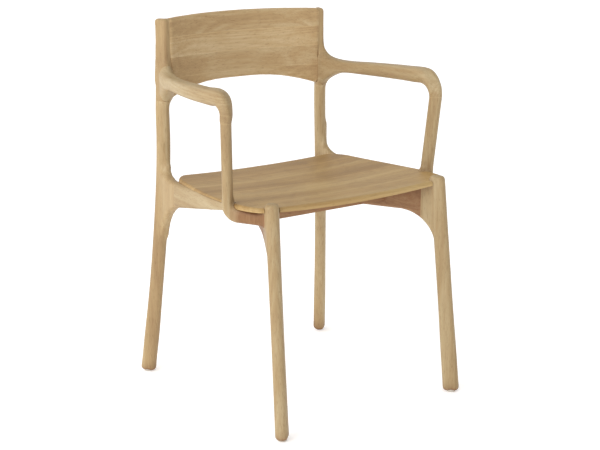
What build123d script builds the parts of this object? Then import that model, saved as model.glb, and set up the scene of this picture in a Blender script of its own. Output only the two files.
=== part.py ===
from build123d import *
from math import cos, radians, sin, sqrt, tan
import os

# A joined oak armchair with no upholstery.  Millimetres, +Z up, the sitter faces -Y, the floor is z = 0
# and the origin lies midway between the feet.  Every side piece is made at +X and mirrored to -X.

# ---- Driving dimensions ----
BACK_TOP = 770          # top of the back posts above the floor
LEG_TOP = 458           # top of the front legs, proud of the seat
FOOT_X_FRONT = 218.6    # half the distance between the front feet
FOOT_X_REAR = 235.0     # half the distance between the rear feet
FOOT_Y = 243.0          # feet stand this far before and behind the origin
GLIDE_RADIUS = 9
GLIDE_THICK = 6
WOOD_LIFT = 1           # the wood of a foot clears the floor by this, on its glide

SEAT_FRONT_Y = -200
SEAT_REAR_Y = 159
SEAT_DISH_Z = 440       # lowest point of the seat's hollow
SEAT_DISH_Y = -20       # where that point lies
SEAT_DISH_RADIUS = 3600
SEAT_UNDER_Z = 427      # lowest point of the underside
SEAT_UNDER_RADIUS = 2700
SEAT_STAVES = 6
SEAT_ROUNDING = 6       # all round the seat's upper edge

BACK_RADIUS = 548       # front face of the back panel, in plan
BACK_FACE_Y = 222       # front face of the back panel at mid width
BACK_THICK = 18
BACK_STAVES = 4
BACK_HALF_WIDTH = 190   # the panel ends against the inner faces of the posts
BACK_PANEL_LOW = 604    # lowest corners of the back panel
BACK_PANEL_TOP = 774.5  # its crown
BACK_PANEL_CORNER = 770.5   # its upper corners

KNUCKLE_Z = 601         # joint between rear leg and back post
ARM_JOINT_Y = 188       # joint between back post and arm
ARM_POST_TOP = 607      # joint between arm and arm post
RAIL_THICK = 22
RAIL_JOINT = 66         # joint of rear leg and side rail, forward of y = 190
RAIL_FRONT = 292        # front end of the side rail, inside the arm post, forward of y = 190
STRUT_THICK = 25
STRUT_ANGLE = 26.8      # the seat struts run back and inward by this from the chair's length
STRUT_JOINT = 30        # joint of front leg and strut, from the leg's centre
FRONT_LEG_Y = -195      # the front leg's centre at its top
CROSS_FRONT_Y = -103    # front face of the front cross rail
CROSS_UNDER = 397.5
CROSS_THICK = 20
REAR_RAIL_Y = 175       # front face of the rear cross rail
REAR_RAIL_THICK = 22
SCREW_RADIUS = 2
HEAD_RADIUS = 4
GLUE_GAP = 0.1          # radial room for glue round a dowel or screw
REAR_RAIL_TOP = 424
RAIL_UNDER = 388        # underside of the rear cross rail
STRUT_REACH = (REAR_RAIL_Y - FRONT_LEG_Y) / cos(radians(STRUT_ANGLE))
UP = Vector(0, 0, 1)
ACROSS = Vector(1, 0, 0)


# ---- Shared shapes ----
def section(centre, across, along, wide, deep, corner=0.45):
    """A rounded section: wide in the direction across, deep at a right angle to it and to along."""
    plane = Plane(origin=centre, x_dir=across, z_dir=along)
    return plane * RectangleRounded(wide, deep, corner * min(wide, deep))


def level_section(x, y, z, wide, deep, turn, corner=0.45):
    """A level section of a leg or post, its wide way turned from +X by the angle turn."""
    across = Vector(cos(radians(turn)), sin(radians(turn)), 0)
    return section((x, y, z), across, UP, wide, deep, corner)


def block(x0, x1, y0, y1, z0, z1):
    """A box from its six faces."""
    middle = ((x0 + x1) / 2, (y0 + y1) / 2, (z0 + z1) / 2)
    return Pos(*middle) * Box(x1 - x0, y1 - y0, z1 - z0)


def standing_plane(x, y, turn):
    """An upright plane through (x, y) whose own x runs level, turned from +X, and whose own y is up."""
    run = Vector(cos(radians(turn)), sin(radians(turn)), 0)
    return Plane(origin=(x, y, 0), x_dir=run, z_dir=run.cross(UP))


def plate(plane, outline, thick):
    """A flat piece of even thickness, centred on the plane, from its outline there."""
    return extrude(plane * outline, amount=thick / 2, both=True)


def soften(blank, plane, radius, start, high):
    """Round the under edges of a flat blank: those that lie past start along it and below high."""
    edges = []
    for edge in blank.edges():
        middle = plane.to_local_coords(edge.center())
        on_a_face = abs(middle.Z) > 1
        if on_a_face and middle.X > start and middle.Y < high:
            edges.append(edge)
    return fillet(edges, radius)


def beyond(plane, start, end, reach=900):
    """A large box that holds what lies between start and end along the plane's own x."""
    mid = (start + end) / 2
    slab = Rectangle(end - start, 2 * reach)
    return extrude(plane * (Pos(mid, 0) * slab), amount=reach, both=True)


def largest(shape):
    """The largest solid of a shape, without offcuts."""
    return max(shape.solids(), key=lambda solid: solid.volume)


def peg(centre, direction, length, radius):
    """A round peg centred on a joint."""
    plane = Plane(origin=centre, z_dir=direction)
    return extrude(plane * Circle(radius), amount=length / 2, both=True)


# ---- Front leg, with its shoulders for the strut and the arm post ----
def leg_line(top, foot, z):
    """The point at height z on the straight line from foot to top."""
    part_way = z / LEG_TOP
    return foot + (top - foot) * part_way


WAIST_Z = 200           # the feet swell below this height
LEG_WIDE = 31


def foot_share(z):
    """1 at the floor, falling evenly to 0 at the waist."""
    return max(1 - z / WAIST_Z, 0)


FRONT_TOP = Vector(207, FRONT_LEG_Y, 0)
FRONT_FOOT = Vector(FOOT_X_FRONT, -FOOT_Y, 0)
STRUT_PLANE = standing_plane(FRONT_TOP.X, FRONT_TOP.Y, 90 + STRUT_ANGLE)


def front_leg_limb():
    """Thick at the foot, slimmest at the waist, and a little deeper again under the seat."""
    sections = []
    for step in range(8):
        z = WOOD_LIFT + (LEG_TOP - WOOD_LIFT) * step / 7
        centre = leg_line(FRONT_TOP, FRONT_FOOT, z)
        wide = LEG_WIDE + 4 * foot_share(z)
        deep = 24 + 2.6 * ((z - WAIST_Z) / 250) ** 2
        sections.append(level_section(centre.X, centre.Y, z, wide, deep, -45))
    limb = loft(sections)
    return fillet(limb.faces().sort_by(Axis.Z)[-1].edges(), 4)


def strut_blank():
    """The strut with the arch that it shares with the front leg, out to the rear cross rail."""
    under, top, low_top = 381, 446, 436     # the strut's underside and the ends of its top
    reach = STRUT_REACH + 12
    front = -12                             # inside the leg
    arch_start, arch_end = -2.5, 78
    foot_z = 298
    lean_rate, lean_z = 0.08, 405           # the outer flank leans in below this height
    with BuildSketch() as outline:
        with BuildLine():
            Polyline((front, foot_z), (front, top), (200, low_top), (reach - 35, low_top),
                     (reach - 30, REAR_RAIL_TOP), (reach, REAR_RAIL_TOP), (reach, under), (arch_end, under))
            TangentArc((arch_end, under), (arch_start, foot_z), tangent=(-1, 0))
            Line((arch_start, foot_z), (front, foot_z))
        make_face()
    blank = plate(STRUT_PLANE, outline.sketch, STRUT_THICK)
    blank = soften(blank, STRUT_PLANE, 7, 10, under + 1)
    lean = (STRUT_PLANE.z_dir - UP * lean_rate).normalized()
    edge = STRUT_PLANE.from_local_coords((0, lean_z, STRUT_THICK / 2))
    flank = Plane(origin=edge, x_dir=STRUT_PLANE.x_dir, z_dir=lean)
    outside = extrude(flank * Rectangle(300, 300), amount=50)
    behind = block(-200, 200, REAR_RAIL_Y, 400, 300, 500)
    return blank - outside - behind


# ---- Arm post: an upright that turns forward under the seat as a bracket to the front leg ----
POST_TOP = Vector(261, -124, ARM_POST_TOP)
POST_SEAT = Vector(251.5, -112.5, 456)
POST_WIDE, POST_DEEP = 27, 20
BRACKET_Z = 427
BRACKET_END = Vector(214, -186, BRACKET_Z)


def arm_post_blank():
    upper = loft([
        level_section(POST_TOP.X, POST_TOP.Y, ARM_POST_TOP, POST_WIDE, POST_DEEP, -45),
        level_section(POST_SEAT.X, POST_SEAT.Y, POST_SEAT.Z, POST_WIDE, POST_DEEP, -45),
    ])
    low_end = 442
    stub = level_section(POST_SEAT.X, POST_SEAT.Y, low_end, POST_WIDE, POST_DEEP, -45)
    upper += extrude(stub, amount=POST_SEAT.Z - low_end)
    run = (BRACKET_END - Vector(POST_SEAT.X, POST_SEAT.Y, BRACKET_Z)).normalized()
    side = run.cross(UP)
    plane = Plane(origin=(POST_SEAT.X, POST_SEAT.Y, 0), x_dir=run, z_dir=side)
    half, head, length, thick = 11, POST_SEAT.Z, 87, 21
    under, over = BRACKET_Z - 13, BRACKET_Z + 12
    with BuildSketch() as outline:
        with BuildLine():
            Polyline((-half, head), (-half, 448))
            TangentArc((-half, 448), (26, under), tangent=(0, -1))
            Polyline((26, under), (length, under), (length, over), (18, over))
            TangentArc((18, over), (half, 446), tangent=(-1, 0.2))
            Polyline((half, 446), (half, head), (-half, head))
        make_face()
    bracket = soften(plate(plane, outline.sketch, thick), plane, 7, -10, BRACKET_Z - 1)
    return upper + bracket


# ---- Arm: a bowed rail that flares into the back post and turns down into the arm post ----
ARM_REAR_Y = 190        # where the arm leaves the post
BEND_Y = -82            # the arm turns down into its post about this line
ARM_REAR_X, ARM_FRONT_X = 203, 253
ARM_TOP, ARM_RISE = 658, 7          # top of the slim part at the rear, and its rise to the bend
ARM_UNDER = 632.5
FLARE_LENGTH = 70       # the arm deepens over this length into the knuckle
UPPER_FLARE, LOWER_FLARE = 11.5, 31
BEND_RADIUS, BEND_FULLNESS = 42, 3


def arm_section(y, along):
    """A section of the arm: bowed outward in plan by a quarter sine, flared by a parabola at the rear."""
    bow = sin(radians(90) * min(max((ARM_REAR_Y - y) / (ARM_REAR_Y - BEND_Y), 0), 1))
    flare = max(1 - max(ARM_REAR_Y - y, 0) / FLARE_LENGTH, 0) ** 2
    rise = ARM_RISE * max((ARM_REAR_Y - FLARE_LENGTH - y) / (ARM_REAR_Y - FLARE_LENGTH - BEND_Y), 0)
    high, low = ARM_TOP + rise + UPPER_FLARE * flare, ARM_UNDER - LOWER_FLARE * flare
    x = ARM_REAR_X + (ARM_FRONT_X - ARM_REAR_X) * bow
    return section((x, y, (high + low) / 2), UP.cross(along), along, 31 + 5 * bow, high - low, 0.36)


def arm_blank():
    """The arm from inside the back post to its bend, and the quarter turn down to the arm post."""
    flared = [ARM_REAR_Y - FLARE_LENGTH * step / 5 for step in range(6)]
    slim_end = BEND_Y + 27
    slim = [flared[-1] + (slim_end - flared[-1]) * step / 4 for step in range(1, 5)]
    sections = []
    for y in [ARM_REAR_Y + 16] + flared + slim:
        share = min(max((ARM_REAR_Y - y) / (ARM_REAR_Y - BEND_Y), 0), 1)
        outward = cos(radians(90) * share) * radians(90) * (ARM_FRONT_X - ARM_REAR_X) / (ARM_REAR_Y - BEND_Y)
        sections.append(arm_section(y, Vector(outward, -1, 0).normalized()))
    for step in range(5):
        angle = 22.5 * step
        lean, rise = sin(radians(angle)), cos(radians(angle))
        share = step / 4
        ease = share * share * (3 - 2 * share)
        distance = BEND_RADIUS + BEND_FULLNESS * sin(radians(2 * angle))
        x = ARM_FRONT_X + (POST_TOP.X - ARM_FRONT_X) * share
        wide = 36 + (POST_WIDE - 36) * share
        tall = ARM_TOP + ARM_RISE - ARM_UNDER + (POST_DEEP - ARM_TOP - ARM_RISE + ARM_UNDER) * ease
        centre = (x, BEND_Y - distance * lean, ARM_POST_TOP + distance * rise)
        plane = Plane(origin=centre, x_dir=(1, 0, 0), z_dir=(0, -rise, -lean))
        sections.append(plane * Rot(0, 0, 45 * lean) * RectangleRounded(wide, tall, 0.36 * min(wide, tall)))
    return loft(sections)


# ---- Rear leg and side rail ----
RAIL_PLANE = standing_plane(211.3, 190, -84.26)
REAR_X, REAR_Y = 205, 203.5         # the rear leg's centre above its curve
SPLAY_TOP, RAKE_TOP = 520, 480      # the leg bends outward below one height and backward below the other
KNUCKLE_WIDE, KNUCKLE_DEEP = 28, 25.5
KNUCKLE_TOP = 676


def rear_leg_limb():
    sections = []
    for step in range(10):
        z = WOOD_LIFT + (KNUCKLE_Z - WOOD_LIFT) * step / 9
        x = REAR_X + (FOOT_X_REAR - REAR_X) * max(1 - z / SPLAY_TOP, 0) ** 1.3
        y = REAR_Y + (FOOT_Y - REAR_Y) * max(1 - z / RAKE_TOP, 0) ** 1.5
        neck = max((z - SPLAY_TOP) / (KNUCKLE_Z - SPLAY_TOP), 0)
        wide = 29.5 + 4.5 * foot_share(z) + (KNUCKLE_WIDE - 29.5) * neck
        deep = 25 + 2.3 * foot_share(z) + (KNUCKLE_DEEP - 25) * neck
        sections.append(level_section(x, y, z, wide, deep, 45))
    return loft(sections)


def rail_blank():
    """The side rail with its fillets into the rear leg, above and below, on one flat blank."""
    face = 3            # front of the leg above the rail, forward of y = 190
    rear = -14          # inside the leg
    upper, lower = 44, 80
    top_rear, top_front = 441, 446
    under_front = 431
    slope = 0.187
    under_start = face - 8 + lower
    under_rear = under_front - slope * (RAIL_FRONT - under_start)
    with BuildSketch() as outline:
        with BuildLine():
            Polyline((rear, under_rear - lower), (rear, top_rear + 70), (face - 4, top_rear + 70),
                     (face, top_rear + upper))
            TangentArc((face, top_rear + upper), (face + upper, top_rear), tangent=(0, -1))
            Polyline((face + upper, top_rear), (RAIL_FRONT, top_front), (RAIL_FRONT, under_front),
                     (under_start, under_rear))
            TangentArc((under_start, under_rear), (face - 9, under_rear - lower), tangent=(-1, -slope))
            Line((face - 9, under_rear - lower), (rear, under_rear - lower))
        make_face()
    blank = soften(plate(RAIL_PLANE, outline.sketch, RAIL_THICK), RAIL_PLANE, 7, 10, under_front - 1)
    flank = extrude(level_section(237, 171, top_rear + 2, 120, 60, 45, 0.01), amount=200)
    return blank - flank


def upper_post():
    """The slim post beside the back panel, and the body of the knuckle below it."""
    slim = loft([
        level_section(204, 203.5, 640, 23, 31, -20, 0.33),
        level_section(202.5, 204, 675, 19.5, 31, -20, 0.33),
        level_section(201.5, 204, 705, 18, 31, -20, 0.33),
        level_section(201.5, 204, BACK_TOP, 18, 31, -20, 0.33),
    ])
    body = loft([
        level_section(REAR_X, REAR_Y, KNUCKLE_Z, KNUCKLE_WIDE, KNUCKLE_DEEP, 45),
        level_section(203, 203.5, KNUCKLE_TOP, 25, 23, 45),
    ])
    return slim + body


# ---- Seat: edge-glued staves, hollowed to a shallow dish and rebated over the side rails ----
def seat_panel():
    with BuildSketch() as outline:
        with BuildLine():
            Polyline((0, SEAT_REAR_Y), (180, SEAT_REAR_Y - 2))
            Spline((180, SEAT_REAR_Y - 2), (204, 144), (221, 112), tangents=((1, 0), (0.25, -1)))
            Spline((221, 112), (240, 8), (250.3, -90), tangents=((0.18, -1), (0.07, -1)))
            Polyline((250.3, -90), (246, -150))
            Spline((246, -150), (239, -178), (220, -197), tangents=((-0.1, -1), (-1, -0.2)))
            Polyline((220, -197), (190, SEAT_FRONT_Y), (0, SEAT_FRONT_Y), (0, SEAT_REAR_Y))
        make_face()
        mirror(about=Plane.YZ)
    slab = extrude(Pos(0, 0, 380) * outline.sketch, amount=100)
    under = Pos(0, SEAT_DISH_Y, SEAT_UNDER_Z + SEAT_UNDER_RADIUS) * Sphere(SEAT_UNDER_RADIUS)
    dish = Pos(0, SEAT_DISH_Y, SEAT_DISH_Z + SEAT_DISH_RADIUS) * Sphere(SEAT_DISH_RADIUS)
    panel = largest((slab & under) - dish)
    top = panel.faces().filter_by(GeomType.SPHERE).sort_by(Axis.Z)[-1]
    return fillet(top.edges(), SEAT_ROUNDING)


def seat_notches():
    """Room round the front leg and the arm post, at +X."""
    post_gap, leg_gap = 8, 3
    wide, deep = POST_WIDE + post_gap, POST_DEEP + post_gap
    post = extrude(level_section(POST_SEAT.X, POST_SEAT.Y, 400, wide, deep, -45), amount=100)
    centre = leg_line(FRONT_TOP, FRONT_FOOT, 448)
    leg = extrude(level_section(centre.X, centre.Y, 400, 31 + leg_gap, 26.5 + leg_gap, -45), amount=100)
    return post + leg


# ---- Back panel: edge-glued staves, curved in plan, crowned on top and arched below ----
def back_panel():
    centre_y = BACK_FACE_Y - BACK_RADIUS
    ring = Circle(BACK_RADIUS + BACK_THICK) - Circle(BACK_RADIUS)
    wall = extrude(Pos(0, centre_y, 590) * ring, amount=200)
    with BuildSketch(Plane.XZ) as outline:
        with BuildLine():
            corner, low = (BACK_HALF_WIDTH, BACK_PANEL_CORNER), (BACK_HALF_WIDTH, BACK_PANEL_LOW)
            ThreePointArc((-BACK_HALF_WIDTH, BACK_PANEL_CORNER), (0, BACK_PANEL_TOP), corner)
            Line(corner, low)
            Spline(low, (150, 616), (90, 627), (0, 630), (-90, 627), (-150, 616),
                   (-BACK_HALF_WIDTH, BACK_PANEL_LOW))
            Line((-BACK_HALF_WIDTH, BACK_PANEL_LOW), (-BACK_HALF_WIDTH, BACK_PANEL_CORNER))
        make_face()
    window = extrude(outline.sketch, amount=-400)
    return largest(wall & window)


# ---- The joined pieces ----
def side_pieces(panel):
    """Every piece of the +X side, cut at its joints, before the holes for its dowels."""
    strut = strut_blank()
    arm_post = arm_post_blank()
    arm = arm_blank()
    rail = rail_blank()
    upper = upper_post()
    shoulder = (strut & beyond(STRUT_PLANE, 0, STRUT_JOINT)) - panel
    front_leg = largest(front_leg_limb() + shoulder)
    knuckle = arm & block(150, 260, ARM_JOINT_Y, 260, 560, 720)
    wing = rail & beyond(RAIL_PLANE, -40, RAIL_JOINT)
    pieces = {
        "front_leg": front_leg,
        "seat_strut": (strut & beyond(STRUT_PLANE, STRUT_JOINT, 600)) - panel,
        "back_post": upper + (knuckle & block(150, 260, 150, 260, KNUCKLE_Z, 720)),
        "arm": (arm & block(150, 320, -200, ARM_JOINT_Y, 560, 720)) - upper,
        "rear_leg": rear_leg_limb() + wing,
        "side_rail": (rail & beyond(RAIL_PLANE, RAIL_JOINT, RAIL_FRONT)) - arm_post,
        "arm_post": arm_post - front_leg,
    }
    return {name: largest(shape) for name, shape in pieces.items()}


def cross_rails(sides):
    """The two rails from side to side: between the struts, and between the rear legs."""
    front = block(-200, 200, CROSS_FRONT_Y, CROSS_FRONT_Y + CROSS_THICK, CROSS_UNDER, SEAT_DISH_Z)
    rear = block(-215, 215, REAR_RAIL_Y, REAR_RAIL_Y + REAR_RAIL_THICK, RAIL_UNDER, REAR_RAIL_TOP)
    strut_wall = strut_blank()
    front -= strut_wall + mirror(strut_wall, about=Plane.YZ)
    rear -= sides["rear_leg"] + mirror(sides["rear_leg"], about=Plane.YZ)
    middle_front = [solid for solid in front.solids() if abs(solid.center().X) < 5]
    middle_rear = [solid for solid in rear.solids() if abs(solid.center().X) < 5]
    return middle_front[0], middle_rear[0]


def slices(shape, count, axis, low, high):
    """The shape sawn across an axis into equal strips."""
    pitch = (high - low) / count
    strips = []
    for index in range(count):
        start = low + index * pitch
        end = start + pitch
        if axis == "y":
            slab = block(-400, 400, start, end, 300, 600)
        else:
            slab = block(-400, 400, 0, 400, start, end)
        strips.append(largest(shape & slab))
    return strips


# ---- Dowels and screws of the +X side: group, the two nodes joined, centre, direction, length, radius ----
def side_dowels():
    strut_run = STRUT_PLANE.x_dir
    rail_run = RAIL_PLANE.x_dir
    strut_joint = Vector(FRONT_TOP.X, FRONT_TOP.Y, 0) + strut_run * STRUT_JOINT
    rail_rear = RAIL_PLANE.origin + rail_run * RAIL_JOINT
    rail_front = RAIL_PLANE.origin + rail_run * (RAIL_FRONT - 3)
    strut_end = Vector(FRONT_TOP.X, FRONT_TOP.Y, 0) + strut_run * STRUT_REACH
    bracket_run = (BRACKET_END - Vector(POST_SEAT.X, POST_SEAT.Y, BRACKET_Z)).normalized()
    cross_mid_y = CROSS_FRONT_Y + CROSS_THICK / 2
    cross_x = FRONT_TOP.X - (cross_mid_y - FRONT_TOP.Y) * tan(radians(STRUT_ANGLE))
    cross_x -= STRUT_THICK / 2 / cos(radians(STRUT_ANGLE))
    cross_end = Vector(cross_x, cross_mid_y, 411)
    rear_mid_y = REAR_RAIL_Y + REAR_RAIL_THICK / 2
    end_y = BACK_FACE_Y - BACK_RADIUS + sqrt((BACK_RADIUS + BACK_THICK / 2) ** 2 - BACK_HALF_WIDTH ** 2)
    tangent = Vector(1, -BACK_HALF_WIDTH / (end_y - BACK_FACE_Y + BACK_RADIUS), 0).normalized()
    dowels = [
        ("knuckle_dowels", "rear_leg", "back_post", Vector(REAR_X, REAR_Y, KNUCKLE_Z), UP, 44, 5),
        ("arm_rear_dowels", "arm", "back_post", Vector(204.5, ARM_JOINT_Y, 635), Vector(0, 1, 0), 24, 4),
        ("arm_rear_dowels", "arm", "back_post", Vector(204.5, ARM_JOINT_Y, 656), Vector(0, 1, 0), 24, 4),
        ("arm_front_dowels", "arm", "arm_post", POST_TOP, UP, 40, 5),
        ("side_rail_dowels", "side_rail", "rear_leg", rail_rear + UP * 404, rail_run, 40, 4),
        ("side_rail_dowels", "side_rail", "rear_leg", rail_rear + UP * 426, rail_run, 40, 4),
        ("side_rail_dowels", "side_rail", "arm_post", rail_front + UP * 435.5, rail_run, 24, 2.5),
        ("strut_dowels", "front_leg", "seat_strut", strut_joint + UP * 396, strut_run, 40, 4),
        ("strut_dowels", "front_leg", "seat_strut", strut_joint + UP * 422, strut_run, 40, 4),
        ("strut_dowels", "seat_strut", "rear_cross_rail", strut_end + UP * 406, strut_run, 32, 4),
        ("bracket_dowels", "arm_post", "front_leg", BRACKET_END - bracket_run * 10, bracket_run, 32, 4),
        ("cross_rail_dowels", "front_cross_rail", "seat_strut", cross_end, ACROSS, 32, 4),
        ("cross_rail_dowels", "rear_cross_rail", "rear_leg", Vector(200, rear_mid_y, 406), ACROSS, 30, 4),
    ]
    pitch = (BACK_PANEL_TOP - BACK_PANEL_LOW) / BACK_STAVES
    for index in range(BACK_STAVES):
        z = BACK_PANEL_LOW + (index + 0.5) * pitch
        stave, centre = f"back_stave_{index + 1}", Vector(BACK_HALF_WIDTH, end_y, z)
        dowels.append(("back_panel_dowels", stave, "back_post", centre, tangent, 18, 3.5))
    return dowels


def screw_places():
    """Where the seat screws stand: the member below and the point on the seat's underside."""
    places = []
    for distance in (150, 320):
        point = Vector(FRONT_TOP.X, FRONT_TOP.Y, 0) + STRUT_PLANE.x_dir * distance
        places.append(("seat_strut", point))
    places.append(("front_cross_rail", Vector(70, CROSS_FRONT_Y + CROSS_THICK / 2, 0)))
    return places


def seat_screw(point):
    """A screw up into the seat, and the stepped hole that it stands in."""
    rise = (point.X ** 2 + (point.Y - SEAT_DISH_Y) ** 2) / (2 * SEAT_UNDER_RADIUS)
    under = SEAT_UNDER_Z + rise
    shank_low, shank_high = under - 18, under + 7
    head_low = shank_low - 3
    middle, length = (shank_low + shank_high) / 2, shank_high - shank_low
    shank = Pos(point.X, point.Y, middle) * Cylinder(SCREW_RADIUS, length)
    head = Pos(point.X, point.Y, (head_low + shank_low) / 2) * Cylinder(HEAD_RADIUS, shank_low - head_low)
    bore = Pos(point.X, point.Y, middle) * Cylinder(SCREW_RADIUS + GLUE_GAP, length)
    well = Pos(point.X, point.Y, (300 + shank_low) / 2) * Cylinder(HEAD_RADIUS + 1, shank_low - 300)
    return shank + head, bore + well


def write_node(name, solids):
    if len(solids) == 1:
        export_step(solids[0], f"parts/{name}.step")
    else:
        export_step(Compound(children=list(solids)), f"parts/{name}.step")


def both_sides(shape):
    """The shape of the +X side and its mirror image."""
    return [("left", shape), ("right", mirror(shape, about=Plane.YZ))]


def wooden_nodes():
    """The wooden nodes by name, before the holes for dowels and screws."""
    panel = seat_panel()
    sides = side_pieces(panel)
    front_cross, rear_cross = cross_rails(sides)
    nodes = {}
    for name, shape in sides.items():
        for side, body in both_sides(shape):
            nodes[f"{name}_{side}"] = body
    nodes["front_cross_rail"] = largest(front_cross - panel)
    nodes["rear_cross_rail"] = rear_cross

    notches = seat_notches()
    seat = panel - notches - mirror(notches, about=Plane.YZ)
    for name in ("side_rail", "rear_leg", "arm_post"):
        seat = seat - nodes[f"{name}_left"] - nodes[f"{name}_right"]
    for index, strip in enumerate(slices(largest(seat), SEAT_STAVES, "y", SEAT_FRONT_Y, SEAT_REAR_Y)):
        nodes[f"seat_stave_{index + 1}"] = strip
    back = back_panel() - nodes["back_post_left"] - nodes["back_post_right"]
    for index, strip in enumerate(slices(largest(back), BACK_STAVES, "z", BACK_PANEL_LOW, BACK_PANEL_TOP)):
        nodes[f"back_stave_{index + 1}"] = strip
    return nodes


def on_side(nodes, name, side):
    """The node's own name, or that of its half on one side."""
    return name if name in nodes else f"{name}_{side}"


def add_dowels(nodes, groups):
    for group, first, second, centre, direction, length, radius in side_dowels():
        plugs = both_sides(peg(centre, direction, length, radius))
        holes = both_sides(peg(centre, direction, length, radius + GLUE_GAP))
        for (side, plug), (_, hole) in zip(plugs, holes):
            groups.setdefault(group, []).append(largest(plug))
            for name in (first, second):
                node = on_side(nodes, name, side)
                nodes[node] = largest(nodes[node] - hole)


def add_screws(nodes, groups):
    for member, point in screw_places():
        screw, room = seat_screw(point)
        for (side, body), (_, space) in zip(both_sides(screw), both_sides(room)):
            groups.setdefault("seat_screws", []).append(largest(body))
            node = on_side(nodes, member, side)
            nodes[node] = largest(nodes[node] - space)
            for index in range(SEAT_STAVES):
                stave = f"seat_stave_{index + 1}"
                nodes[stave] = largest(nodes[stave] - space)


def add_glides(nodes, groups):
    for leg, foot in (("front_leg", (FOOT_X_FRONT, -FOOT_Y)), ("rear_leg", (FOOT_X_REAR, FOOT_Y))):
        for side, sign in (("left", 1), ("right", -1)):
            glide = Pos(sign * foot[0], foot[1], GLIDE_THICK / 2) * Cylinder(GLIDE_RADIUS, GLIDE_THICK)
            groups.setdefault("foot_glides", []).append(largest(glide))
            nodes[f"{leg}_{side}"] = largest(nodes[f"{leg}_{side}"] - glide)


nodes, groups = wooden_nodes(), {}
add_dowels(nodes, groups)
add_screws(nodes, groups)
add_glides(nodes, groups)
os.makedirs("parts", exist_ok=True)
for name, shape in nodes.items():
    write_node(name, [shape])
for name, solids in groups.items():
    write_node(name, solids)
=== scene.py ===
from math import cos, radians, sin

import bmesh
import bpy
import numpy as np
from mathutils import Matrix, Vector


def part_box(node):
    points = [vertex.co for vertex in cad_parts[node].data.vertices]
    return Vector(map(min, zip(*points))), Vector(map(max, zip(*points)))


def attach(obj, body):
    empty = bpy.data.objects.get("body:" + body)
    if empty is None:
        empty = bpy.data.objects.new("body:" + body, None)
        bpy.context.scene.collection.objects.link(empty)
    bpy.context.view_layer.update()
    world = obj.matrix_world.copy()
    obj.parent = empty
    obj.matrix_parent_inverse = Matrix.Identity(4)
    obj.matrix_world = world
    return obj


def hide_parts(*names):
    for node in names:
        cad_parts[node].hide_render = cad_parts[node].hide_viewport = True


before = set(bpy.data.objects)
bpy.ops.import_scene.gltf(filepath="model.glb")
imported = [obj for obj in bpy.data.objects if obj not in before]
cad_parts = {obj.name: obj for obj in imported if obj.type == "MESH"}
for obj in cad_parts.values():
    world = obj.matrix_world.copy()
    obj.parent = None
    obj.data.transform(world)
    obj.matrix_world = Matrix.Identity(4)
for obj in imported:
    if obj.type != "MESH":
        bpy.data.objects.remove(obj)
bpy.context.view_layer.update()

import openvdb
from mathutils import Vector

# ---- Sculpting: the CAD members become rounded, blended wood in a field of signed distances ----
VOXEL = 0.0016
SPACE = openvdb.createLinearTransform(voxelSize=VOXEL)
REACH = 12 * VOXEL          # each member's own field is true this far from its surface
JOIN = 0.5 * VOXEL          # closes the hairline between members that touch
SEAM = 0.0001               # hairline left where a member meets the seat or the panel
SIDE_MEMBERS = ["arm", "arm_post", "back_post", "front_leg", "rear_leg", "seat_strut", "side_rail"]
SEAT_STAVES = [f"seat_stave_{number}" for number in range(1, 7)]
BACK_STAVES = [f"back_stave_{number}" for number in range(1, 5)]
DOWEL_GROUPS = [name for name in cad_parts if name.endswith("_dowels")]
SMOOTH_ROUNDS = 3
SMALL_BLEND = 0.012         # radius of the hollows where slim members meet
LARGE_BLEND = 0.034         # radius of the hollows round the rear leg
LARGE_BLEND_FROM = 0.27     # the wide hollows begin at this height
EDGE_ROUND = 0.0065         # radius of the arrises


def node_faces(name):
    """The corner points and triangles of a CAD node."""
    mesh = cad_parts[name].data
    mesh.calc_loop_triangles()
    points = np.empty(len(mesh.vertices) * 3, np.float32)
    mesh.vertices.foreach_get("co", points)
    triangles = np.empty(len(mesh.loop_triangles) * 3, np.int32)
    mesh.loop_triangles.foreach_get("vertices", triangles)
    return points.reshape(-1, 3), triangles.reshape(-1, 3).astype(np.uint32)


def region(low, high):
    """The first voxel and the count of voxels each way of a box in metres."""
    start = np.floor(np.array(low) / VOXEL).astype(int)
    end = np.ceil(np.array(high) / VOXEL).astype(int)
    return start, end - start + 1


def sample(grid, start, shape):
    values = np.empty(tuple(shape), np.float32)
    grid.copyToArray(values, ijk=tuple(int(value) for value in start))
    return values


def node_field(name, start, shape):
    """Signed distance to a CAD node over a region."""
    points, triangles = node_faces(name)
    grid = openvdb.FloatGrid.createLevelSetFromPolygons(
        points, triangles=triangles, transform=SPACE, halfWidth=REACH / VOXEL
    )
    return sample(grid, start, shape)


def surface(values, start, level=0.0):
    """The closed surface where a field takes the value level."""
    limit = 3 * VOXEL
    grid = openvdb.FloatGrid(limit)
    grid.copyFromArray(np.clip(values, -limit, limit), ijk=tuple(int(value) for value in start))
    grid.transform = SPACE
    return grid.convertToQuads(level)


def level_set(points, quads, reach):
    return openvdb.FloatGrid.createLevelSetFromPolygons(
        points, quads=quads, transform=SPACE, halfWidth=abs(reach) / VOXEL + 3
    )


def moved(points, quads, distance):
    """A closed surface moved outward by a distance, or inward where it is negative."""
    return level_set(points, quads, distance).convertToQuads(distance)


def blended(values, start, radius):
    """The field with its hollows filled to a radius, as a ball rolling over the outside leaves them."""
    points, quads = surface(values, start, JOIN)
    points, quads = moved(points, quads, radius - JOIN)
    points, quads = moved(points, quads, -radius)
    return sample(level_set(points, quads, 0), start, values.shape)


def rounded(values, start, radius):
    """The field with its arrises rounded to a radius, as a ball rolling inside leaves them."""
    points, quads = surface(values, start, JOIN)
    points, quads = moved(points, quads, -radius - JOIN)
    points, quads = moved(points, quads, radius)
    return sample(level_set(points, quads, 0), start, values.shape)


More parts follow.
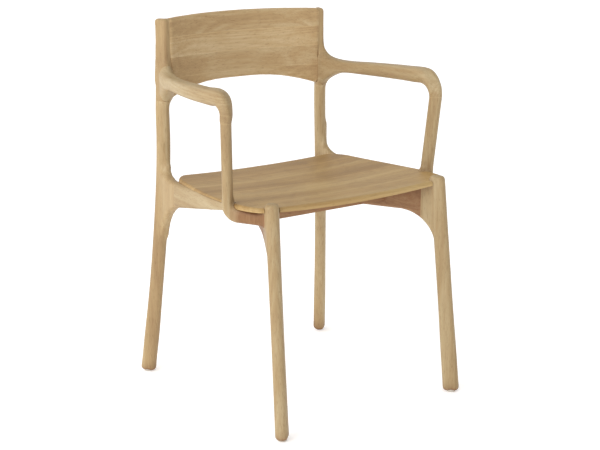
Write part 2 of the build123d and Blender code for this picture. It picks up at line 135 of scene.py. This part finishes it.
def joined(names, start, shape):
    field = np.full(tuple(shape), REACH, np.float32)
    for name in names:
        field = np.minimum(field, node_field(name, start, shape))
    return field


def sculpt(names, neighbours, low, high, blends):
    """Blends and rounds the named members together and returns a surface for each, parted at the joints."""
    start, shape = region(low, high)
    fields = {name: node_field(name, start, shape) for name in names}
    dowels = joined(DOWEL_GROUPS, start, shape)
    body = np.minimum.reduce([dowels, *fields.values()])
    for radius, box_low, box_high in blends:
        first, count = region(box_low, box_high)
        first = np.maximum(first, start)
        last = np.minimum(first + count, start + shape)
        part = tuple(slice(a - o, b - o) for a, b, o in zip(first, last, start))
        body = body.copy()
        body[part] = np.minimum(body[part], blended(body[part], first, radius))
    beside = joined(neighbours, start, shape)
    body = rounded(np.minimum(body, beside), start, EDGE_ROUND)
    body = np.maximum(body, SEAM - np.minimum(beside, dowels))
    points, quads = surface(body, start)
    points = smoothed(points, quads, SMOOTH_ROUNDS)
    pieces = {}
    for name in names:
        others = np.minimum.reduce([fields[other] for other in names if other != name])
        pieces[name] = parted(points, quads, looked_up(fields[name] - others, start, points))
    return pieces


def smoothed(points, quads, rounds):
    """Each point moved half way to the middle of its neighbours, a few times over."""
    points = np.array(points, np.float64)
    ends = np.vstack([quads[:, [0, 1]], quads[:, [1, 2]], quads[:, [2, 3]], quads[:, [3, 0]]]).astype(np.int64)
    count = np.maximum(np.bincount(ends[:, 0], minlength=len(points)), 1)
    for _ in range(rounds):
        for axis in range(3):
            total = np.bincount(ends[:, 0], weights=points[ends[:, 1], axis], minlength=len(points))
            points[:, axis] = (points[:, axis] + total / count) / 2
    return points


def looked_up(values, start, points):
    """The field's value at each point, between its voxels."""
    place = points / VOXEL - start
    corner = np.clip(np.floor(place).astype(int), 0, np.array(values.shape) - 2)
    share = place - corner
    total = np.zeros(len(points))
    for step in np.ndindex(2, 2, 2):
        weight = np.prod(np.where(step, share, 1 - share), axis=1)
        total += weight * values[tuple((corner + step).T)]
    return total


def parted(points, quads, split):
    """The part of a surface where split is below zero, cut cleanly along the zero line."""
    inside = split < 0
    mine = inside[quads]
    whole = quads[mine.all(axis=1)]
    faces = whole.tolist()
    cuts, added = {}, []
    for corners in quads[mine.any(axis=1) & ~mine.all(axis=1)].tolist():
        outline = []
        for first, second in zip(corners, corners[1:] + corners[:1]):
            if inside[first]:
                outline.append(first)
            if inside[first] != inside[second]:
                low, high = min(first, second), max(first, second)
                if (low, high) not in cuts:
                    share = split[low] / (split[low] - split[high])
                    cuts[(low, high)] = len(points) + len(added)
                    added.append(points[low] + share * (points[high] - points[low]))
                outline.append(cuts[(low, high)])
        faces.append(outline)
    every = np.vstack([points, np.array(added).reshape(-1, 3)])
    used, numbers = np.unique(np.concatenate([np.array(face) for face in faces]), return_inverse=True)
    ends = np.cumsum([len(face) for face in faces])
    return every[used], [part.tolist() for part in np.split(numbers, ends[:-1])]


def wooden_piece(name, points, faces, node, mirrored=False):
    """A wooden piece from its surface, with a flat end at each joint."""
    if mirrored:
        points = points * (-1, 1, 1)
    mesh = bpy.data.meshes.new(name)
    mesh.from_pydata(points.tolist(), [], faces)
    mesh.polygons.foreach_set("use_smooth", [True] * len(mesh.polygons))
    work = bmesh.new()
    work.from_mesh(mesh)
    rim = [edge for edge in work.edges if edge.is_boundary]
    for edge in rim:
        edge.smooth = False
    bmesh.ops.holes_fill(work, edges=rim, sides=0)
    bmesh.ops.recalc_face_normals(work, faces=work.faces)
    work.to_mesh(mesh)
    work.free()
    piece = bpy.data.objects.new(name, mesh)
    bpy.context.scene.collection.objects.link(piece)
    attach(piece, "root")
    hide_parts(node)
    return piece


side_names = [f"{name}_left" for name in SIDE_MEMBERS]
MARGIN = 0.010
side_boxes = [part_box(name) for name in side_names]
side_low = np.min([low for low, high in side_boxes], axis=0) - MARGIN
side_high = np.max([high for low, high in side_boxes], axis=0) + MARGIN
rear_low, rear_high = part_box("rear_leg_left")
blend_low = np.array(rear_low) - 0.02
blend_low[2] = LARGE_BLEND_FROM
blend_high = np.array(rear_high) + (0.03, 0.02, 0.11)
side = sculpt(
    side_names,
    SEAT_STAVES + BACK_STAVES,
    side_low,
    side_high,
    [(SMALL_BLEND, side_low, side_high), (LARGE_BLEND, blend_low, blend_high)],
)
pieces = {}
for name, (points, faces) in side.items():
    plain = name[: -len("_left")]
    pieces[name] = wooden_piece(f"wood_{name}", points, faces, name)
    pieces[f"{plain}_right"] = wooden_piece(f"wood_{plain}_right", points, faces, f"{plain}_right", True)

panel_low, panel_high = np.array(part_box("back_stave_1")[0]), np.array(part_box("back_stave_4")[1])
panel = sculpt(
    BACK_STAVES,
    ["back_post_left", "back_post_right"],
    panel_low - MARGIN,
    panel_high + MARGIN,
    [],
)
for name, (points, faces) in panel.items():
    pieces[name] = wooden_piece(f"wood_{name}", points, faces, name)

# ---- Oak, beech, steel and nylon ----
ALONG_X, ALONG_Y, ALONG_Z = (0, 0, 0), (0, 0, radians(90)), (0, radians(90), 0)
post_low, post_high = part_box("arm_post_left")
# where the painted shadow of the seat falls on the arm post's bracket
SEAT_SHADOW_Y = (post_high[1] - 0.022, post_high[1] - 0.045)    # the bracket darkens towards the front leg
SEAT_SHADOW_Z = (post_low[2] + 0.038, post_low[2] + 0.022)      # and lies below the post's bend
GRAIN_STRETCH = 0.055       # detail along the grain is this much longer than across it


def socket(node, name, value):
    node.inputs[name].default_value = value


def srgb(red, green, blue):
    """A colour given as 0 to 255 on screen, as the shader needs it."""
    values = []
    for level in (red, green, blue):
        share = level / 255
        values.append(share / 12.92 if share <= 0.04045 else ((share + 0.055) / 1.055) ** 2.4)
    return (*values, 1)


class Shader:
    """A material's node tree, built step by step."""

    def __init__(self, name, roughness):
        self.material = bpy.data.materials.new(name)
        self.material.use_nodes = True
        self.nodes = self.material.node_tree.nodes
        self.links = self.material.node_tree.links
        self.surface = self.nodes["Principled BSDF"]
        socket(self.surface, "Roughness", roughness)

    def link(self, source, output, target, name):
        self.links.new(source.outputs[output], target.inputs[name])

    def place(self, turn, offset, stretch):
        """Coordinates that run with the grain."""
        where = self.nodes.new("ShaderNodeTexCoord")
        turned = self.nodes.new("ShaderNodeMapping")
        socket(turned, "Rotation", turn)
        socket(turned, "Location", offset)
        self.link(where, "Object", turned, "Vector")
        drawn = self.nodes.new("ShaderNodeMapping")
        socket(drawn, "Scale", (stretch, 1, 1))
        self.link(turned, "Vector", drawn, "Vector")
        return drawn

    def noise(self, place, scale, detail, distortion=0.0):
        node = self.nodes.new("ShaderNodeTexNoise")
        socket(node, "Scale", scale)
        socket(node, "Detail", detail)
        socket(node, "Distortion", distortion)
        self.link(place, "Vector", node, "Vector")
        return node

    def sum(self, first, second, share):
        """first + second * share, of two values."""
        node = self.nodes.new("ShaderNodeMath")
        node.operation = "MULTIPLY_ADD"
        self.links.new(second, node.inputs[0])
        node.inputs[1].default_value = share
        self.links.new(first, node.inputs[2])
        return node.outputs[0]

    def mix(self, first, second, blend, share):
        """Two colours laid over one another; share is a number or a node's output."""
        node = self.nodes.new("ShaderNodeMix")
        node.data_type = "RGBA"
        node.blend_type = blend
        factor, under, over = node.inputs[0], node.inputs[6], node.inputs[7]
        if isinstance(share, float):
            factor.default_value = share
        else:
            self.links.new(share, factor)
        self.links.new(first, under)
        self.links.new(second, over)
        return node.outputs[2]

    def ramp(self, value, stops):
        node = self.nodes.new("ShaderNodeValToRGB")
        marks = node.color_ramp.elements
        while len(marks) < len(stops):
            marks.new(0.5)
        for mark, (position, colour) in zip(marks, stops):
            mark.position = position
            mark.color = colour
        self.links.new(value, node.inputs["Fac"])
        return node


def painted_crevice_shade_and_worn_edges(wood, colour):
    """Painted shade: wood made redder and darker where it lies close to other wood, and worn a little paler
    along its arrises.
    """
    # painted shade in crevices, from how near other surfaces lie
    near = wood.nodes.new("ShaderNodeAmbientOcclusion")
    near.samples = 8
    socket(near, "Distance", 0.04)
    crevice_shade = wood.ramp(near.outputs["AO"], [(0.30, (0.50, 0.33, 0.25, 1)), (0.92, (1, 1, 1, 1))])
    shaded = wood.mix(colour, crevice_shade.outputs["Color"], "MULTIPLY", 0.9)
    shape = wood.nodes.new("ShaderNodeNewGeometry")
    worn = wood.ramp(shape.outputs["Pointiness"], [(0.505, (0, 0, 0, 1)), (0.56, (1, 1, 1, 1))])
    pale = wood.mix(shaded, shaded, "SCREEN", 0.25)
    return wood.mix(shaded, pale, "MIX", worn.outputs["Color"])


def painted_seat_shadow(wood, colour):
    """Painted shadow of the seat: redder, darker colour on the part of the arm post that runs forward under
    the seat.
    """
    where = wood.nodes.new("ShaderNodeTexCoord")
    parts = wood.nodes.new("ShaderNodeSeparateXYZ")
    wood.link(where, "Object", parts, "Vector")
    shares = []
    for axis, (start, end) in (("Y", SEAT_SHADOW_Y), ("Z", SEAT_SHADOW_Z)):
        fade = wood.nodes.new("ShaderNodeMapRange")
        socket(fade, "From Min", start)
        socket(fade, "From Max", end)
        wood.link(parts, axis, fade, "Value")
        shares.append(fade.outputs["Result"])
    both = wood.nodes.new("ShaderNodeMath")
    both.operation = "MULTIPLY"
    wood.links.new(shares[0], both.inputs[0])
    wood.links.new(shares[1], both.inputs[1])
    shadow_tint = wood.ramp(both.outputs[0], [(0, (1, 1, 1, 1)), (1, (0.66, 0.47, 0.38, 1))])
    return wood.mix(colour, shadow_tint.outputs["Color"], "MULTIPLY", 1.0)


def oak(name, palette, turn, tone, seed):
    """Oiled oak: broad tone, cathedral rings, fine streaks and open pores, all drawn out along the grain."""
    wood = Shader(name, 0.5)
    offset = (0.37 * seed % 5, 0.61 * seed % 7, 0.83 * seed % 3)
    place = wood.place(turn, offset, GRAIN_STRETCH)
    broad = wood.noise(place, 16, 2, 0.3)
    rings = wood.noise(place, 9, 1.5, 0.6)
    waves = wood.nodes.new("ShaderNodeMath")
    waves.operation = "MULTIPLY"
    wood.links.new(rings.outputs["Fac"], waves.inputs[0])
    waves.inputs[1].default_value = 130
    crest = wood.nodes.new("ShaderNodeMath")
    crest.operation = "SINE"
    wood.links.new(waves.outputs[0], crest.inputs[0])
    streaks = wood.noise(place, 260, 4)
    pores = wood.noise(wood.place(turn, offset, GRAIN_STRETCH * 1.6), 750, 2)
    value = wood.sum(broad.outputs["Fac"], crest.outputs[0], 0.055)
    value = wood.sum(value, streaks.outputs["Fac"], 0.42)
    shade = [tuple(channel * tone for channel in colour[:3]) + (1,) for colour in palette]
    colour = wood.ramp(value, [(0.44, shade[0]), (0.70, shade[1]), (0.98, shade[2])])
    open_pore = wood.ramp(pores.outputs["Fac"], [(0.32, (0.62, 0.55, 0.48, 1)), (0.42, (1, 1, 1, 1))])
    grained = wood.mix(colour.outputs["Color"], open_pore.outputs["Color"], "MULTIPLY", 0.55)
    if "arm_post" in name:
        # painted shadow of the seat on the arm post's bracket
        grained = painted_seat_shadow(wood, grained)
    # painted shade in crevices laid over the wood's colour, and paler worn arrises
    finished = painted_crevice_shade_and_worn_edges(wood, grained)
    wood.links.new(finished, wood.surface.inputs["Base Color"])
    sheen = wood.nodes.new("ShaderNodeMapRange")
    socket(sheen, "To Min", 0.42)
    socket(sheen, "To Max", 0.62)
    wood.link(streaks, "Fac", sheen, "Value")
    wood.link(sheen, "Result", wood.surface, "Roughness")
    bump = wood.nodes.new("ShaderNodeBump")
    socket(bump, "Strength", 0.25)
    socket(bump, "Distance", 0.0004)
    wood.links.new(open_pore.outputs["Color"], bump.inputs["Height"])
    wood.links.new(bump.outputs["Normal"], wood.surface.inputs["Normal"])
    socket(wood.surface, "Specular IOR Level", 0.35)
    return wood.material


# dark, middle and light oak of the frame, the back panel, the rails below the seat (darker and redder as
# painted shade under the seat), and the seat
OAK_FRAME = (srgb(146, 119, 83), srgb(163, 138, 99), srgb(181, 162, 126))
OAK_BACK = (srgb(150, 122, 85), srgb(167, 140, 100), srgb(184, 163, 127))
OAK_UNDER_SEAT_SHADE = (srgb(126, 90, 60), srgb(144, 107, 74), srgb(160, 126, 90))
OAK_SEAT = (srgb(140, 109, 66), srgb(155, 124, 77), srgb(169, 142, 95))
GRAIN = {
    "arm": ALONG_Y, "arm_post": ALONG_Z, "back_post": ALONG_Z, "front_leg": ALONG_Z, "rear_leg": ALONG_Z,
    "seat_strut": ALONG_Y, "side_rail": ALONG_Y,
}
BACK_TONES = [1.22, 1.19, 1.26, 1.19]
SEAT_TONES = [1.14, 1.10, 1.17, 1.12, 1.16, 1.13]
REAR_LEG_TONE = 1.12


def paint(piece, material):
    piece.data.materials.clear()
    piece.data.materials.append(material)


for index, (name, piece) in enumerate(sorted(pieces.items())):
    kind = name.rsplit("_", 1)[0]
    turn = GRAIN.get(kind, ALONG_X)
    tone = REAR_LEG_TONE if kind in ("rear_leg", "back_post") else 1.0
    if name in BACK_STAVES:
        tone = BACK_TONES[BACK_STAVES.index(name)]
    # the strut under the seat takes the darker, redder palette as painted shade
    palette = OAK_BACK if name in BACK_STAVES else OAK_UNDER_SEAT_SHADE if kind == "seat_strut" else OAK_FRAME
    paint(piece, oak(f"oak_{name}", palette, turn, tone, index + 1))

for index, name in enumerate(SEAT_STAVES):
    paint(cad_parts[name], oak(f"oak_{name}", OAK_SEAT, ALONG_X, SEAT_TONES[index], 40 + index))
# the cross rails under the seat take the darker, redder palette as painted shade
for index, name in enumerate(["front_cross_rail", "rear_cross_rail"]):
    paint(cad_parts[name], oak(f"oak_{name}", OAK_UNDER_SEAT_SHADE, ALONG_X, 1.0, 60 + index))


def turned_wood(name, colour, dark):
    beech = Shader(name, 0.6)
    flecks = beech.noise(beech.place(ALONG_Z, (0, 0, 0), 0.3), 900, 3)
    shade = beech.ramp(flecks.outputs["Fac"], [(0.35, dark), (0.65, colour)])
    beech.link(shade, "Color", beech.surface, "Base Color")
    return beech.material


def brushed(name, colour, dark, metallic, roughness):
    """Steel or nylon with fine marks in its colour and relief."""
    finish = Shader(name, roughness)
    socket(finish.surface, "Metallic", metallic)
    marks = finish.noise(finish.place(ALONG_Z, (0, 0, 0), 0.5), 1400, 3)
    shade = finish.ramp(marks.outputs["Fac"], [(0.3, dark), (0.7, colour)])
    finish.link(shade, "Color", finish.surface, "Base Color")
    bump = finish.nodes.new("ShaderNodeBump")
    socket(bump, "Strength", 0.15)
    socket(bump, "Distance", 0.0001)
    finish.link(marks, "Fac", bump, "Height")
    finish.link(bump, "Normal", finish.surface, "Normal")
    return finish.material


beech = turned_wood("beech", srgb(214, 186, 150), srgb(186, 152, 112))
steel = brushed("steel", srgb(170, 172, 176), srgb(120, 122, 126), 1, 0.35)
nylon = brushed("nylon", srgb(205, 198, 186), srgb(180, 172, 160), 0, 0.55)
for name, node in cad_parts.items():
    if name.endswith("dowels"):
        paint(node, beech)
paint(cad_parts["seat_screws"], steel)
paint(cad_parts["foot_glides"], nylon)

# ---- Floor, light and camera ----
FLOOR = 30.0                # half its width
floor_mesh = bpy.data.meshes.new("floor")
floor_mesh.from_pydata(
    [(-FLOOR, -FLOOR, 0), (FLOOR, -FLOOR, 0), (FLOOR, FLOOR, 0), (-FLOOR, FLOOR, 0)], [], [(0, 1, 2, 3)]
)
floor = bpy.data.objects.new("floor", floor_mesh)
bpy.context.scene.collection.objects.link(floor)
floor_finish = Shader("floor_paint", 0.9)
socket(floor_finish.surface, "Base Color", (0.96, 0.96, 0.96, 1))
socket(floor_finish.surface, "Emission Color", (1, 1, 1, 1))
socket(floor_finish.surface, "Emission Strength", 0.35)
paint(floor, floor_finish.material)

# the studio is brighter to the left of the picture than to its right
CAMERA_PLACE = (-1.6085, -2.2056, 1.0543)
CAMERA_TURN = (radians(75.419), 0, radians(-36.119))
PICTURE_RIGHT = (cos(CAMERA_TURN[2]), sin(CAMERA_TURN[2]), 0)
world = bpy.data.worlds.new("studio")
world.use_nodes = True
sky = world.node_tree.nodes["Background"]
socket(sky, "Color", (1, 1, 1, 1))
heading = world.node_tree.nodes.new("ShaderNodeTexCoord")
sideways = world.node_tree.nodes.new("ShaderNodeVectorMath")
sideways.operation = "DOT_PRODUCT"
sideways.inputs[1].default_value = PICTURE_RIGHT
brightness = world.node_tree.nodes.new("ShaderNodeMapRange")
socket(brightness, "From Min", -1)
socket(brightness, "To Min", 1.3)
socket(brightness, "To Max", 0.42)
world.node_tree.links.new(heading.outputs["Generated"], sideways.inputs[0])
world.node_tree.links.new(sideways.outputs["Value"], brightness.inputs["Value"])
world.node_tree.links.new(brightness.outputs["Result"], sky.inputs["Strength"])
bpy.context.scene.world = world
bpy.context.scene.view_settings.view_transform = "Standard"


def softbox(name, place, aim, size, power):
    """A square area light turned towards a point."""
    light = bpy.data.lights.new(name, "AREA")
    light.shape = "SQUARE"
    light.size = size
    light.energy = power
    lamp = bpy.data.objects.new(name, light)
    lamp.location = place
    direction = Vector(aim) - Vector(place)
    lamp.rotation_euler = direction.to_track_quat("-Z", "Y").to_euler()
    bpy.context.scene.collection.objects.link(lamp)


softbox("key", (-3.0, -0.7, 1.9), (0, 0, 0.4), 2.0, 40)
softbox("fill", (0.2, -3.2, 2.2), (0, 0, 0.4), 2.5, 5)

camera = bpy.data.cameras.new("camera")
camera.sensor_width = 36
camera.lens = 80.69
viewer = bpy.data.objects.new("camera", camera)
viewer.location = CAMERA_PLACE
viewer.rotation_euler = CAMERA_TURN
bpy.context.scene.collection.objects.link(viewer)
bpy.context.scene.camera = viewer
